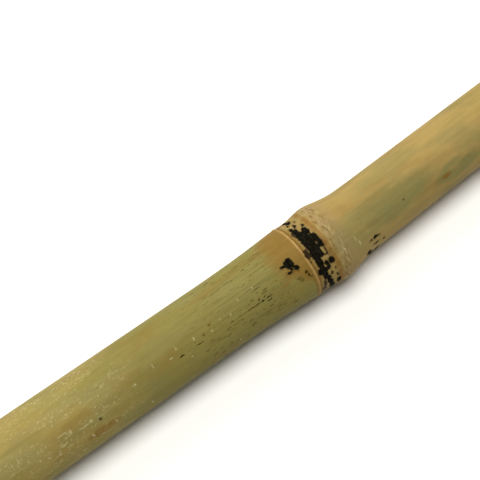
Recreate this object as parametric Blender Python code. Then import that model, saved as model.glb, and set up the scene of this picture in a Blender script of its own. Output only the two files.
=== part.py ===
"""A bamboo cane, lying on the ground: one length of culm with four nodes, sawn square and hollow at both ends.

The cane runs along X with its butt end at -X. The ground is the plane Z = 0. Sizes are in millimetres
until a point is made, and angles round the culm are in degrees: 0 faces +Y, 90 faces up, 270 faces down.
"""

import math

import bmesh
import bpy
from mathutils import Vector

MM = 0.001

# The culm.
LENGTH = 600.0
BUTT_RADIUS = 6.25
TIP_RADIUS = 5.85
OVALNESS = 0.008
OVAL_ANGLE = 60.0
SIDES = 32
CUT_BEVEL = 0.3

# The nodes. A node's place is that of its sheath scar. Its branch grew on alternate sides of the culm.
NODE_PLACES = (-272.0, -86.0, 106.0, 270.0)
BRANCH_ANGLES = (55.0, 235.0, 55.0, 235.0)
HEADINGS = (0.5, -1.3, 1.3, -0.8, 0.6)
BEND_START = 2.0
BEND_END = 14.0
INTERNODE_BOW = 0.35

# How far the culm stands proud of its plain radius at a node, by distance beyond the sheath scar.
NODE_PROFILE = (
    (-15.0, 0.00),
    (-10.0, 0.10),
    (-6.5, 0.23),
    (-3.2, 0.43),
    (-1.1, 0.56),
    (-0.4, 0.58),
    (0.0, 0.67),
    (0.5, 0.56),
    (1.2, 0.53),
    (2.6, 0.57),
    (3.5, 0.72),
    (4.4, 0.89),
    (5.2, 1.00),
    (6.0, 1.07),
    (6.8, 1.03),
    (7.6, 0.90),
    (8.6, 0.67),
    (9.8, 0.43),
    (10.8, 0.24),
    (12.0, 0.09),
    (13.5, 0.03),
    (16.0, 0.00),
)
RIDGE_DISTANCE = 6.0
RIDGE_HEIGHT = 1.07
RIDGE_UNEVENNESS = 0.05
RIDGE_LEAN = 0.2

# Near the branch the sheath scar dips and the ridge arches, both by a distance along the culm.
BRANCH_REACH = 45.0
SCAR_DIP = 0.8
RIDGE_ARCH = 0.4

# The stub of the trimmed branch, between the scar and the ridge.
STUB_DISTANCE = 4.6
STUB_LENGTH = 4.4
STUB_WIDTH = 3.6
STUB_HEIGHT = 0.45
STUB_EDGE = 0.7

# The hollow of the end internodes, from the saw cut to the wall across the node.
BUTT_HOLLOW_RADIUS = 3.3
TIP_HOLLOW_RADIUS = 3.2
NODE_WALL = 2.4
HOLLOW_ROUNDING = ((1.0, 2.4), (0.94, 1.0), (0.72, 0.25), (0.36, 0.0))

# The worn spot under each node on which the cane rests.
REST_FLAT_DEPTH = 0.15

SKIN_COLOUR = (0.27, 0.21, 0.065, 1.0)
SKIN_ROUGHNESS = 0.42
SMOOTH_ANGLE = math.radians(40)


def blend(start, end, share):
    """The value that lies this share of the way from start to end."""
    return start + (end - start) * share


def fade(value, full, none):
    """1 at full, 0 at none, and a smooth step between them."""
    share = min(max((value - none) / (full - none), 0.0), 1.0)
    return share * share * (3 - 2 * share)


def culm_radius(x):
    """The plain radius of the culm, which tapers from butt to tip."""
    return blend(BUTT_RADIUS, TIP_RADIUS, x / LENGTH + 0.5)


def ramp(distance):
    """A line of slope 1 that starts at a node and bends in gently over the node's own length."""
    span = BEND_END - BEND_START
    beyond = distance - BEND_START
    if beyond <= 0:
        return 0.0
    if beyond >= span:
        return beyond - span / 2
    return beyond * beyond / (2 * span)


def sideways(x):
    """How far the culm's axis lies to the side: it turns a little at each node, left and right in turn."""
    slopes = [math.tan(math.radians(heading)) for heading in HEADINGS]
    side = slopes[0] * (x + LENGTH / 2)
    for place, before, after in zip(NODE_PLACES, slopes, slopes[1:]):
        side += (after - before) * ramp(x - place)
    return side


def bow(x):
    """The slight arch of each internode, which is nothing at the nodes."""
    ridges = [place + RIDGE_DISTANCE for place in NODE_PLACES]
    for start, end in zip(ridges, ridges[1:]):
        if start < x < end:
            return INTERNODE_BOW * math.sin(math.pi * (x - start) / (end - start)) ** 2
    return 0.0


def axis_at(x):
    """(side, height) of the culm's axis. It is as high as lets every node's ridge touch the ground."""
    return sideways(x), culm_radius(x) + RIDGE_HEIGHT - REST_FLAT_DEPTH + bow(x)


def swelling(distance):
    """NODE_PROFILE read at a distance beyond the scar."""
    for (start, low), (end, high) in zip(NODE_PROFILE, NODE_PROFILE[1:]):
        if start <= distance <= end:
            return blend(low, high, (distance - start) / (end - start))
    return 0.0


def turn_from(angle, branch_angle):
    """The angle from the branch round to here, from -180 to 180."""
    return (angle - branch_angle + 180) % 360 - 180


def lean(distance, angle, branch_angle):
    """How far a ring of the node is shifted along the culm. The scar dips below the branch, the ridge arches."""
    turn = turn_from(angle, branch_angle)
    near_branch = fade(abs(turn), 0.0, BRANCH_REACH)
    scar = -SCAR_DIP * near_branch
    ridge = RIDGE_LEAN * math.cos(math.radians(turn)) + RIDGE_ARCH * near_branch
    if distance <= 0:
        return scar * fade(distance, 0.0, NODE_PROFILE[0][0])
    if distance <= RIDGE_DISTANCE:
        return blend(scar, ridge, distance / RIDGE_DISTANCE)
    return ridge * fade(distance, RIDGE_DISTANCE, NODE_PROFILE[-1][0])


def stub_height(distance, angle, branch_angle):
    """How far the trimmed branch stands out here: a low oval table with sloped sides."""
    around = math.radians(turn_from(angle, branch_angle)) * (BUTT_RADIUS + RIDGE_HEIGHT)
    along = distance - STUB_DISTANCE
    out = math.hypot(along / (STUB_LENGTH / 2), around / (STUB_WIDTH / 2))
    return STUB_HEIGHT * fade(out, STUB_EDGE, 2 - STUB_EDGE)


def point_on(x, angle, radius):
    """The point at this radius and angle round the culm's axis. What would dip below the ground is worn flat."""
    side, height = axis_at(x)
    turn = math.radians(angle)
    oval = 1 + OVALNESS * math.cos(2 * (turn - math.radians(OVAL_ANGLE)))
    return Vector(
        (
            x * MM,
            (side + radius * oval * math.cos(turn)) * MM,
            max(height + radius * oval * math.sin(turn), 0.0) * MM,
        )
    )


def angles():
    """The directions round the culm in which each ring has a point."""
    return [360 * step / SIDES for step in range(SIDES)]


def plain_ring(x, radius):
    """A ring of the given radius, square across the culm."""
    return [point_on(x, angle, radius) for angle in angles()]


def node_ring(place, branch_angle, distance):
    """A ring on or near a node, which follows the lean of its scar and ridge."""
    ring = []
    for angle in angles():
        x = place + distance + lean(distance, angle, branch_angle)
        towards_branch = math.cos(math.radians(angle - branch_angle))
        swell = swelling(distance) * (1 + RIDGE_UNEVENNESS * towards_branch)
        stub = stub_height(distance, angle, branch_angle)
        ring.append(point_on(x, angle, culm_radius(x) + swell + stub))
    return ring


def skin_rings():
    """The rings of the outside, from the butt's saw cut to the tip's."""
    butt, tip = -LENGTH / 2, LENGTH / 2
    rings = [
        plain_ring(butt, culm_radius(butt) - CUT_BEVEL),
        plain_ring(butt + CUT_BEVEL, culm_radius(butt)),
    ]
    for number, (place, branch_angle) in enumerate(zip(NODE_PLACES, BRANCH_ANGLES)):
        if number:
            start = NODE_PLACES[number - 1] + NODE_PROFILE[-1][0]
            end = place + NODE_PROFILE[0][0]
            for x in (blend(start, end, share) for share in (0.25, 0.5, 0.75)):
                rings.append(plain_ring(x, culm_radius(x)))
        for distance, _ in NODE_PROFILE:
            if place + distance < butt + 2 * CUT_BEVEL:
                continue
            rings.append(node_ring(place, branch_angle, distance))
    rings.append(plain_ring(tip - CUT_BEVEL, culm_radius(tip)))
    rings.append(plain_ring(tip, culm_radius(tip) - CUT_BEVEL))
    return rings


def hollow_rings(end, floor, radius):
    """The rings of an end's hollow, from its mouth to its rounded floor at the wall across the node."""
    inwards = math.copysign(1.0, floor - end)
    rings = [plain_ring(end, radius)]
    for share, before_floor in HOLLOW_ROUNDING:
        rings.append(plain_ring(floor - inwards * before_floor, radius * share))
    return rings


def loft(rings):
    """A mesh through these rings, closed at both ends. Each ring is extruded from the last and moved to its place."""
    mesh = bmesh.new()
    first = [mesh.verts.new(point) for point in rings[0]]
    edges = [mesh.edges.new((a, b)) for a, b in zip(first, first[1:] + first[:1])]
    mesh.faces.new(first)
    for ring in rings[1:]:
        made = bmesh.ops.extrude_edge_only(mesh, edges=edges)["geom"]
        edges = [item for item in made if isinstance(item, bmesh.types.BMEdge)]
        edges = [edge for edge in edges if len(edge.link_faces) == 1]
        corners = [item for item in made if isinstance(item, bmesh.types.BMVert)]
        for corner, point in zip(corners, ring):
            corner.co = point
    mesh.faces.new(corners)
    bmesh.ops.recalc_face_normals(mesh, faces=mesh.faces[:])
    return mesh


def centre_sideways(mesh):
    """Puts the origin midway between the cane's two sides."""
    sides = [corner.co.y for corner in mesh.verts]
    middle = (min(sides) + max(sides)) / 2
    bmesh.ops.translate(mesh, verts=mesh.verts[:], vec=(0.0, -middle, 0.0))


def skin_material():
    """The pale olive skin of a dried cane, slightly waxy."""
    material = bpy.data.materials.new("bamboo_skin")
    material.use_nodes = True
    shader = material.node_tree.nodes["Principled BSDF"]
    shader.inputs["Base Color"].default_value = SKIN_COLOUR
    shader.inputs["Roughness"].default_value = SKIN_ROUGHNESS
    shader.inputs["Metallic"].default_value = 0.0
    material.diffuse_color = SKIN_COLOUR
    return material


def build_cane():
    """The whole cane: one chain of rings from the floor of the butt's hollow, over the skin, into the tip's."""
    butt_floor = NODE_PLACES[0] + RIDGE_DISTANCE - NODE_WALL
    tip_floor = NODE_PLACES[-1] + RIDGE_DISTANCE + NODE_WALL
    butt_hollow = hollow_rings(-LENGTH / 2, butt_floor, BUTT_HOLLOW_RADIUS)
    tip_hollow = hollow_rings(LENGTH / 2, tip_floor, TIP_HOLLOW_RADIUS)
    mesh = loft(butt_hollow[::-1] + skin_rings() + tip_hollow)
    centre_sideways(mesh)
    data = bpy.data.meshes.new("cane")
    mesh.to_mesh(data)
    mesh.free()
    data.materials.append(skin_material())
    data.shade_smooth()
    data.set_sharp_from_angle(angle=SMOOTH_ANGLE)
    cane = bpy.data.objects.new("cane", data)
    bpy.context.scene.collection.objects.link(cane)
    return cane


def main():
    for leftover in list(bpy.data.objects):
        bpy.data.objects.remove(leftover)
    build_cane()


main()
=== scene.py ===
"""One bamboo cane on a pale floor: a dried culm with ringed nodes, black mould and sawn, hollow ends.

Sizes are in millimetres until a point is made; those in the panel are lengths. The cane runs along X
with its butt end at -X. Angles round it are in degrees: 0 faces +Y, 90 up, 180 -Y and 270 down. A place
on a node is given by its distance beyond the sheath scar, towards the tip.
"""

import math
import random

import bmesh
import bpy
import numpy as np
from bpy.props import FloatProperty, FloatVectorProperty, IntProperty, PointerProperty
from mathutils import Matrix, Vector, noise


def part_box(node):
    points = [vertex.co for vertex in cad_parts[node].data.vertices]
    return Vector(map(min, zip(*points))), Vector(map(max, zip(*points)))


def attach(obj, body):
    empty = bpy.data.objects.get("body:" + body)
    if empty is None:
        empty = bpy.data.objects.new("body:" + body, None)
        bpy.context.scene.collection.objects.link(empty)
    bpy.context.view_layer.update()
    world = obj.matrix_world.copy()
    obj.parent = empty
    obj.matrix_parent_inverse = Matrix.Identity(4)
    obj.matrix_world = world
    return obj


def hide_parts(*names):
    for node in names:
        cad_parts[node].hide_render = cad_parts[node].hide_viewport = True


bl_info = {
    "name": "Bamboo cane",
    "version": (1, 0, 0),
    "blender": (4, 5, 0),
    "location": "3D View > Sidebar > Cane",
    "description": "Models a length of dried bamboo with its nodes and saw cuts, and a plain stage",
    "category": "Add Mesh",
}

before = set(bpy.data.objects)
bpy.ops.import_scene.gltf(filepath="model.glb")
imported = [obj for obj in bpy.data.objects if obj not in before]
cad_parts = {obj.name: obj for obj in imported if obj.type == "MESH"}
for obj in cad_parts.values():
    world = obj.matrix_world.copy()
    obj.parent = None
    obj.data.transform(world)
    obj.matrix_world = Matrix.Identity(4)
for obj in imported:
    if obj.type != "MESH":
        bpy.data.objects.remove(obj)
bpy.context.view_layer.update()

MM = 0.001
CULM_LOW, CULM_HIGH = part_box("cane")
HALF_LENGTH = CULM_HIGH[0] / MM

# The culm's course. Its headings are the directions of its internodes, seen from above.
OVALNESS = 0.008
OVAL_ANGLE = 60.0
CUT_BEVEL = 0.3
NODE_PLACES = (-272.0, -86.0, 106.0, 270.0)
BRANCH_ANGLES = (55.0, 235.0, 55.0, 235.0)
HEADINGS = (0.5, -1.3, 1.3, -0.8, 0.6)
BEND_START = 2.0
BEND_END = 14.0
INTERNODE_BOW = 0.35

# How far the culm stands proud of its plain radius at a node, by distance beyond the scar: each is a share
# of the ridge's height.
NODE_PROFILE = (
    (-15.0, 0.00),
    (-10.0, 0.09),
    (-6.5, 0.21),
    (-3.2, 0.40),
    (-1.1, 0.52),
    (-0.4, 0.54),
    (0.5, 0.52),
    (1.2, 0.50),
    (2.6, 0.53),
    (3.5, 0.67),
    (4.4, 0.83),
    (5.2, 0.93),
    (6.0, 1.00),
    (6.8, 0.96),
    (7.6, 0.84),
    (8.6, 0.63),
    (9.8, 0.40),
    (10.8, 0.22),
    (12.0, 0.08),
    (13.5, 0.03),
    (16.0, 0.00),
)
PROFILE_SOFTNESS = 0.45
PROFILE_READINGS = 7
RIDGE_DISTANCE = 6.0
RIDGE_UNEVENNESS = 0.05
RIDGE_LEAN = 0.2
BRANCH_REACH = 45.0
SCAR_DIP = 0.8
RIDGE_ARCH = 0.4
SCAR_WIDTH = 0.17

# Below each scar the skin turns tan. At one angle, which is given for each node, the tan reaches furthest
# down: fully so within the first of two turns from it, and no further than elsewhere past the second.
TAN_ANGLES = (230.0, 78.0, 310.0, 120.0)
TAN_LEAST = 0.7
TAN_MOST = 6.5
TAN_TURNS = (30.0, 70.0)
TAN_EDGE = (0.45, 1.15)
TAN_ABOVE_SCAR = 0.5

# The stub of the trimmed branch, between the scar and the ridge, and the dimple of its pith.
STUB_DISTANCE = 4.6
STUB_LENGTH = 4.4
STUB_WIDTH = 3.6
STUB_HEIGHT = 0.45
STUB_EDGE = 0.7
PITH_SHARE = 0.28
PITH_DEPTH = 0.25

# The hollow of the end internodes, from the saw cut to the wall across the node.
NODE_WALL = 2.4
HOLLOW_ROUNDING = ((1.0, 2.4), (0.94, 1.0), (0.72, 0.25), (0.36, 0.0))

# How far the ridge of each node is worn away where the cane rests on it.
REST_FLAT_DEPTH = 0.15

# The straight bar that the culm is shaped from, and how many rings cross each stretch of the node that the
# photograph shows. Each of the other nodes has a share of them.
BAR_RADIUS = 6.05
SHOWN_NODE = 1
ZONES = ((-16.0, -2.0, 60), (-2.0, 2.0, 44), (2.0, 14.5, 84), (14.5, 21.0, 22))
OTHER_NODES_SHARE = 0.42
INTERNODE_RINGS = 15
SAWN_INTERNODE_RINGS = 5
BORE_RINGS = 12
CUT_FACE_STEPS = 4
SMOOTH_ANGLE = math.radians(40)

# Two places along the bar count as one within this distance. A face is square on to the bar where the share
# of its normal along X is more than this.
SAME_PLACE = 0.01
SQUARE_ON = 0.9

# How far the two sawn internodes would have run on past their cuts. It sets where their colours lie.
SAWN_OFF = 150.0

# Small unevenness: the size of its waves along and across, their height, and a seed that sets them apart.
# The scar's chips, the tan's raggedness and the crust's lumps are shares of what they act on.
RELIEF = (((30.0, 7.0), 0.045, 1), ((7.0, 3.0), 0.012, 1))
RIDGE_RELIEF = ((1.8, 1.3), 0.050, 2)
RIDGE_RELIEF_REACH = 5.0
MOULD_RAGGEDNESS = (((0.70, 0.70), 0.12, 3), ((0.30, 0.30), 0.07, 3))
MOULD_RAGGED_REACH = 0.8
TAN_RAGGEDNESS = ((2.2, 1.1), 0.35, 4)
SCAR_CHIPS = ((1.0, 0.9), 0.6, 5)
SCAR_WANDER = ((1.0, 2.2), 0.10, 6)
CRUST_LUMPS = ((0.5, 0.5), 0.4, 8)
CRUST_EDGE = 0.25
SEED_STEPS = (17.3, 5.1, 9.7)

# Mould on the shown node: distance beyond the scar, angle, half length, half width, and how square it is.
# The holes in it are bare, and the smears are brown mould, half grown.
MOULD_PATCHES = (
    (2.50, 97.0, 1.48, 1.35, 6),
    (2.00, 113.0, 1.00, 0.80, 5),
    (3.65, 113.0, 0.17, 0.56, 3),
    (3.10, 119.2, 0.60, 0.11, 2),
    (1.60, 124.0, 0.60, 1.00, 4),
    (1.45, 139.0, 0.93, 0.74, 2.4),
    (2.62, 134.5, 0.45, 0.74, 2.5),
    (1.62, 149.5, 0.50, 0.85, 3),
    (2.03, 162.0, 0.42, 0.95, 3),
    (2.30, 174.0, 0.40, 1.00, 3),
    (2.60, 187.0, 0.50, 1.00, 2),
    (2.80, 202.0, 0.55, 1.00, 2),
    (3.56, 131.5, 0.55, 0.53, 2.4),
    (3.75, 176.0, 0.36, 0.85, 2),
    (-2.90, 101.5, 0.72, 0.78, 3),
    (-2.20, 112.0, 0.42, 0.40, 2.5),
    (-4.05, 100.8, 0.36, 0.20, 2),
    (-3.00, 110.5, 0.32, 0.30, 2),
    (-3.45, 113.4, 0.52, 0.22, 3),
    (11.70, 151.0, 0.34, 0.18, 2),
    (12.80, 150.0, 0.50, 0.32, 2),
    (13.45, 152.0, 0.28, 0.18, 2),
    (12.60, 164.6, 0.58, 0.22, 2),
    (14.45, 168.0, 0.22, 0.28, 2),
    (10.90, 175.0, 0.50, 0.70, 2),
    (11.60, 187.0, 0.50, 0.90, 2),
    (13.00, 189.0, 0.60, 0.95, 2),
    (1.90, 83.0, 0.90, 1.20, 3),
    (3.00, 76.0, 0.55, 0.75, 3),
    (1.70, 70.0, 0.50, 0.85, 3),
    (3.35, 66.0, 0.28, 0.34, 2),
    (1.35, 60.5, 0.36, 0.46, 2),
    (2.35, 57.0, 0.24, 0.38, 2),
    (3.05, 50.0, 0.18, 0.26, 2),
    (1.65, 48.0, 0.28, 0.30, 2),
    (2.20, 40.0, 0.50, 0.60, 2.5),
    (1.90, 31.0, 0.42, 0.60, 2),
    (2.30, 222.0, 0.60, 1.10, 2),
    (1.80, 262.0, 0.50, 1.40, 2),
)
MOULD_HOLES = (
    (3.10, 98.6, 0.20, 0.20, 2),
    (3.26, 112.5, 0.28, 0.56, 3),
    (2.25, 135.5, 0.20, 0.20, 2),
)
SMEARS = (
    (0.55, 105.5, 0.50, 0.86, 5),
    (0.40, 118.8, 0.17, 0.16, 2),
    (1.20, 167.0, 0.36, 0.95, 2),
    (0.95, 178.0, 0.50, 0.70, 2),
    (1.10, 70.0, 0.45, 0.70, 2),
)
NO_MOULD = -3.0

# Mould on the other nodes falls by chance, between these limits: a broken band of patches that run side by
# side in the groove, and spots strewn over the groove, below the scar and above the ridge.
SCATTER_SEED = 7
BAND_STARTS = (1.6, 2.2)
BAND_LIMITS = (1.3, 2.6)
BAND_WANDER = 0.3
BAND_PATCHES = (7, 14)
BAND_STEP = 8.0
BAND_HALF_LENGTHS = (0.35, 1.0)
BAND_HALF_WIDTHS = (0.45, 0.8)
BAND_SQUARENESS = 2.5
SPOTS = 16
SPOT_STRETCHES = ((0.8, 4.0), (-5.0, -1.0), (9.0, 15.0))
SPOT_SIZES = (0.12, 0.5)
SPOT_WIDTHS = (0.4, 1.3)
SPOT_SQUARENESS = (2, 2, 3)

# Marks on the skin that stand alone: where along the culm, angle, half length, half width. A mark has faded
# out at MARK_FADE times its size, and has its full strength MARK_FULL of the way in. Waves of one size make
# its outline ragged: they shift it over a distance along the culm and a lesser one round it.
MARK_FADE = 1.15
MARK_FULL = 0.42
MARK_WAVES = 0.45
MARK_SHIFT = (0.9, 0.5, 0.0)
DARK_MARKS = (
    (-111.35, 124.3, 0.52, 0.14),
    (-107.9, 124.4, 0.70, 0.10),
    (-101.8, 124.5, 0.35, 0.09),
    (-100.2, 124.5, 0.26, 0.09),
    (-96.75, 125.0, 0.26, 0.10),
    (-95.8, 125.4, 0.32, 0.13),
    (-94.6, 125.4, 0.50, 0.12),
    (-96.15, 120.9, 0.30, 0.11),
    (-95.1, 121.2, 0.22, 0.13),
    (-94.7, 129.5, 0.55, 0.11),
    (-127.0, 131.6, 0.30, 0.27),
    (-65.75, 126.7, 0.21, 0.15),
    (-87.15, 125.4, 0.28, 0.25),
    (-87.0, 131.0, 0.32, 0.30),
    (-86.65, 136.5, 0.17, 0.17),
    (-82.35, 146.5, 0.22, 0.36),
    (-83.18, 151.0, 0.28, 0.48),
    (-82.4, 159.4, 0.28, 0.46),
)
FAINT_MARKS = (
    (-109.5, 124.3, 1.10, 0.06),
    (-104.6, 124.4, 1.60, 0.06),
    (-97.7, 137.0, 0.36, 0.12),
    (-96.2, 138.2, 0.30, 0.12),
    (-94.0, 137.8, 0.34, 0.11),
    (-92.5, 136.8, 0.22, 0.10),
    (-91.4, 136.5, 0.24, 0.10),
    (-107.4, 142.0, 0.42, 0.13),
    (-98.9, 142.0, 0.62, 0.15),
    (-98.8, 151.5, 0.60, 0.34),
    (-106.4, 157.5, 0.36, 0.24),
    (-108.6, 118.0, 0.24, 0.13),
    (-129.8, 164.0, 0.18, 0.20),
    (-88.7, 128.7, 0.45, 0.30),
    (-88.4, 132.9, 0.35, 0.28),
    (-88.2, 117.3, 0.22, 0.35),
    (-86.75, 127.7, 0.12, 0.25),
    (-102.6, 130.9, 0.32, 0.16),
    (-101.0, 131.0, 1.30, 0.09),
    (-97.3, 115.4, 0.30, 0.20),
    (-94.8, 115.4, 0.72, 0.18),
    (-103.2, 141.8, 0.50, 0.13),
    (-95.9, 150.6, 0.85, 0.15),
    (-93.6, 150.0, 0.50, 0.18),
    (-92.7, 152.8, 0.42, 0.19),
    (-95.8, 145.6, 0.19, 0.23),
    (-90.8, 161.0, 0.45, 0.28),
)
BROWN_MARKS = (
    (-56.3, 141.0, 1.20, 0.50),
    (-127.4, 150.5, 3.40, 0.75),
    (-91.5, 125.2, 1.20, 0.20),
)
RUST_MARKS = (
    (-98.1, 125.4, 0.82, 0.14),
    (-105.1, 108.5, 0.42, 0.17),
    (-106.7, 117.0, 0.20, 0.19),
)
PALE_MARKS = (
    (-139.1, 123.0, 0.12, 0.34),
    (-137.7, 132.4, 0.16, 0.28),
    (-136.4, 137.0, 0.18, 0.16),
    (-135.0, 143.0, 0.55, 0.09),
    (-133.0, 118.5, 0.80, 0.11),
    (-131.7, 123.0, 0.18, 0.42),
    (-129.7, 127.6, 0.95, 0.13),
    (-128.3, 126.0, 0.36, 0.25),
    (-129.2, 149.0, 0.19, 0.52),
    (-125.2, 151.5, 0.25, 0.50),
    (-119.9, 119.7, 0.30, 0.16),
    (-119.0, 164.0, 0.10, 0.42),
    (-116.1, 111.7, 0.07, 0.58),
    (-108.4, 113.3, 0.11, 0.38),
    (-101.8, 163.8, 0.10, 0.42),
    (-79.7, 130.5, 0.13, 0.72),
    (-79.9, 146.0, 0.08, 1.10),
    (-77.0, 127.0, 0.08, 0.55),
    (-76.5, 137.0, 0.08, 0.62),
    (-113.1, 118.2, 0.34, 0.15),
    (-111.6, 109.0, 0.08, 0.36),
    (-110.1, 134.5, 0.09, 0.17),
    (-105.2, 118.2, 0.15, 0.15),
    (-103.3, 110.9, 0.11, 0.14),
    (-101.4, 114.0, 0.13, 0.15),
    (-99.1, 102.7, 0.08, 0.33),
    (-96.0, 100.3, 0.14, 0.16),
)

# Broad soft clouds of grey green above the shown node.
CLOUDS = (
    (-70.5, 118.0, 13.0, 3.4),
    (-53.5, 140.0, 6.0, 2.0),
)

# Stretches that hold a finish, by distance beyond the scar: none, full, full, none.
DASHED = (-30.0, -13.0, -6.0, -3.0)
SCUFFED = (-68.0, -56.0, -42.0, -28.0)
SPECKED = (-9.0, -5.0, 3.0, 4.5)
CREASED = (4.6, 5.0, 6.4, 7.8)

# Patterns along the fibres: how long and how wide their clouds are, a shift that sets each apart from the
# others, and its layers of detail. A fibre is about 0.15 mm wide, too fine to show in the render, so the
# finest streaks, rows and threads are drawn 0.2 mm wide or a little more.
PATTERNS = {
    "ground drift": (16.0, 4.0, 0.0, 2.0),
    "green clouds": (10.0, 4.5, 11.0, 2.0),
    "drifting edges": (5.0, 1.8, 13.0, 3.0),
    "brown clouds": (14.0, 4.0, 23.0, 2.0),
    "node mottle": (3.0, 1.1, 5.0, 3.0),
    "fine streaks": (6.0, 0.22, 2.0, 3.0),
    "broad streaks": (16.0, 0.80, 7.0, 3.0),
    "mottle": (1.6, 0.8, 71.0, 3.0),
    "dashes": (1.05, 0.24, 31.0, 1.0),
    "dash rows": (9.0, 0.34, 37.0, 1.0),
    "threads": (9.0, 0.20, 79.0, 2.0),
    "strewn rust": (1.1, 0.8, 41.0, 2.0),
    "rust specks": (0.26, 0.20, 43.0, 1.0),
    "scuffs along": (0.90, 0.24, 53.0, 2.0),
    "scuffs across": (0.26, 0.70, 59.0, 2.0),
    "scuffed clouds": (9.0, 2.4, 67.0, 2.0),
    "ridge creases": (0.30, 1.1, 61.0, 4.0),
    "stub chips": (0.9, 0.9, 83.0, 4.0),
    "stub weathering": (0.5, 0.3, 89.0, 4.0),
    "mould speckle": (0.35, 0.35, 3.0, 3.0),
    "mould dust": (0.34, 0.34, 17.0, 2.0),
    "mould lumps": (0.22, 0.22, 9.0, 2.0),
    "lining creases": (6.0, 0.5, 2.0, 3.0),
}

# Where a pattern is picked out: not at the first value, fully at the second, and how strong it is there.
PICKED = {
    "green clouds": (0.42, 0.68, 0.48),
    "drifting edges": (0.22, 0.52, 0.88),
    "brown clouds": (0.48, 0.72, 0.35),
    "dashes": (0.55, 0.68, 1.0),
    "dash rows": (0.50, 0.60, 1.0),
    "threads": (0.54, 0.70, 0.36),
    "strewn rust": (0.73, 0.80, 0.55),
    "rust specks": (0.66, 0.76, 0.60),
    "scuffs along": (0.58, 0.72, 1.0),
    "scuffs across": (0.60, 0.74, 1.0),
    "scuffed clouds": (0.36, 0.54, 1.0),
    "stub weathering": (0.35, 0.65, 0.70),
    "mould dust": (0.46, 0.66, 0.70),
    "lining creases": (0.45, 0.80, 0.50),
}

# The same for the creases of the ridge, which are picked out high and low: the pale crests are partly wear
# and partly a painted highlight, and the dark creases partly grime and partly painted shade. The same, too,
# for the light scuffs by distance beyond the scar, for the rim and the cut of a stub, and for the mould's
# smears, stain and crust by depth.
WORN_AND_LIT_CRESTS = (0.55, 0.76, 0.42)
GRIMY_AND_SHADED_CREASES = (0.50, 0.36, 0.60)
LIGHTLY_SCUFFED = (-9.0, -16.0, 0.08)
STUB_RIM = (-0.22, -0.02, 0.85)
STUB_CUT = (0.0, 0.12, 0.9)
SMEARED = (-0.10, 0.12, 0.93)
STAINED = (-0.28, 0.05, 0.45)
CRUSTED = (-0.03, 0.05, 1.0)

# How strongly each finish is laid over the skin, and how ragged the stub and the mould are.
TAN_STRENGTH = 0.9
DASH_STRENGTH = 0.68
DARK_STRENGTH = 0.95
FAINT_STRENGTH = 0.42
RUST_STRENGTH = 0.75
SCRATCH_STRENGTH = 0.55
NICK_STRENGTH = 0.46
HAZE_STRENGTH = 0.06
PITH_STRENGTH = 0.8
CRUST_STRENGTH = 0.98
STUB_RAGGEDNESS = 0.9
SPECKLE_DEPTH = 0.40

# The darkest streak's share of the skin's brightness, and what streaks and mottle add to it.
DARKEST_STREAK = 0.65
FINE_DEPTH = 0.24
BROAD_DEPTH = 0.26
MOTTLE_DEPTH = 0.20

# How satin the skin is: its least and most roughness, what the crust adds to it, and how much it mirrors.
SATIN = (0.44, 0.64)
CRUST_ROUGHNESS = 0.35
SKIN_MIRRORS = 0.035

# The skin's ground colour by share of the way along an internode, which wanders a little, and the tint of a
# node by distance beyond the scar, with how much of it shows.
GROUND_WANDER = 0.20
GROUND = (
    (0.0, "grey_tan"),
    (0.2, "grey_tan"),
    (0.32, "straw"),
    (0.74, "straw"),
    (0.84, "green"),
    (1.0, "green"),
)
NODE_TINTED = (-1.0, 16.0)
NODE_TINTS = (
    (-0.32, "tan", 0.0),
    (-0.16, "scar", 0.95),
    (0.10, "scar", 0.95),
    # The dark line of the crevice just beyond the scar is painted shade.
    (0.26, "crevice", 0.85),
    (0.62, "crevice", 0.65),
    (1.10, "groove", 0.95),
    (3.50, "groove", 0.95),
    (4.15, "foot", 0.95),
    (4.58, "foot", 0.90),
    (4.82, "groove", 0.80),
    (5.40, "crest", 0.85),
    (7.20, "crest", 0.70),
    (9.50, "grey_tan", 0.40),
    (16.0, "grey_tan", 0.0),
)

# The sawn face. Its bundles of fibres stand half a millimetre apart, and their size is a share of that: the
# first as far as a radius, and the second at the skin. Its rim is browned, and the saw's marks slant.
BUNDLE_SPACING = 0.50
BUNDLE_SIZES = (0.22, 0.50)
BUNDLES_GROW_FROM = 3.6
RIM_WIDTH = 0.25
SAW_MARK_WIDTH = 0.2
SAW_MARK_LENGTH = 4.0
SAW_SLANT = 0.35

# Where the two lights hang, in metres.
TOP_LIGHT_PLACE = (-0.1, 0.1, 1.3)
SIDE_LIGHT_PLACE = (-0.1, 1.15, 0.8)

# The camera's place is given by the direction and distance from which it looks at its aim. Its lens gives
# the culm the photograph's scale, and it sees nothing that is nearer than the last value.
VIEW_AZIMUTH = -37.5
VIEW_ELEVATION = 67.0
VIEW_DISTANCE = 150.0
VIEW_AIM = (-90.9, 7.0, 7.0)
PIXELS_PER_MM = 5.83
PICTURE_PIXELS = 480
SENSOR_WIDTH = 36.0
NEAREST_SHOWN = 5.0


def linear(hex_colour):
    """An sRGB hex colour as linear red, green and blue."""
    parts = [int(hex_colour[at : at + 2], 16) / 255 for at in (0, 2, 4)]
    return tuple(part / 12.92 if part <= 0.04045 else ((part + 0.055) / 1.055) ** 2.4 for part in parts)


def length_property(name, description, millimetres):
    """A length of the panel, from its size in millimetres."""
    return FloatProperty(name=name, description=description, default=millimetres * MM, unit="LENGTH")


def colour_property(name, description, hex_colour):
    """A colour of the panel, from its sRGB hex value."""
    default = linear(hex_colour)
    return FloatVectorProperty(name=name, description=description, subtype="COLOR", size=3, default=default)


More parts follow.
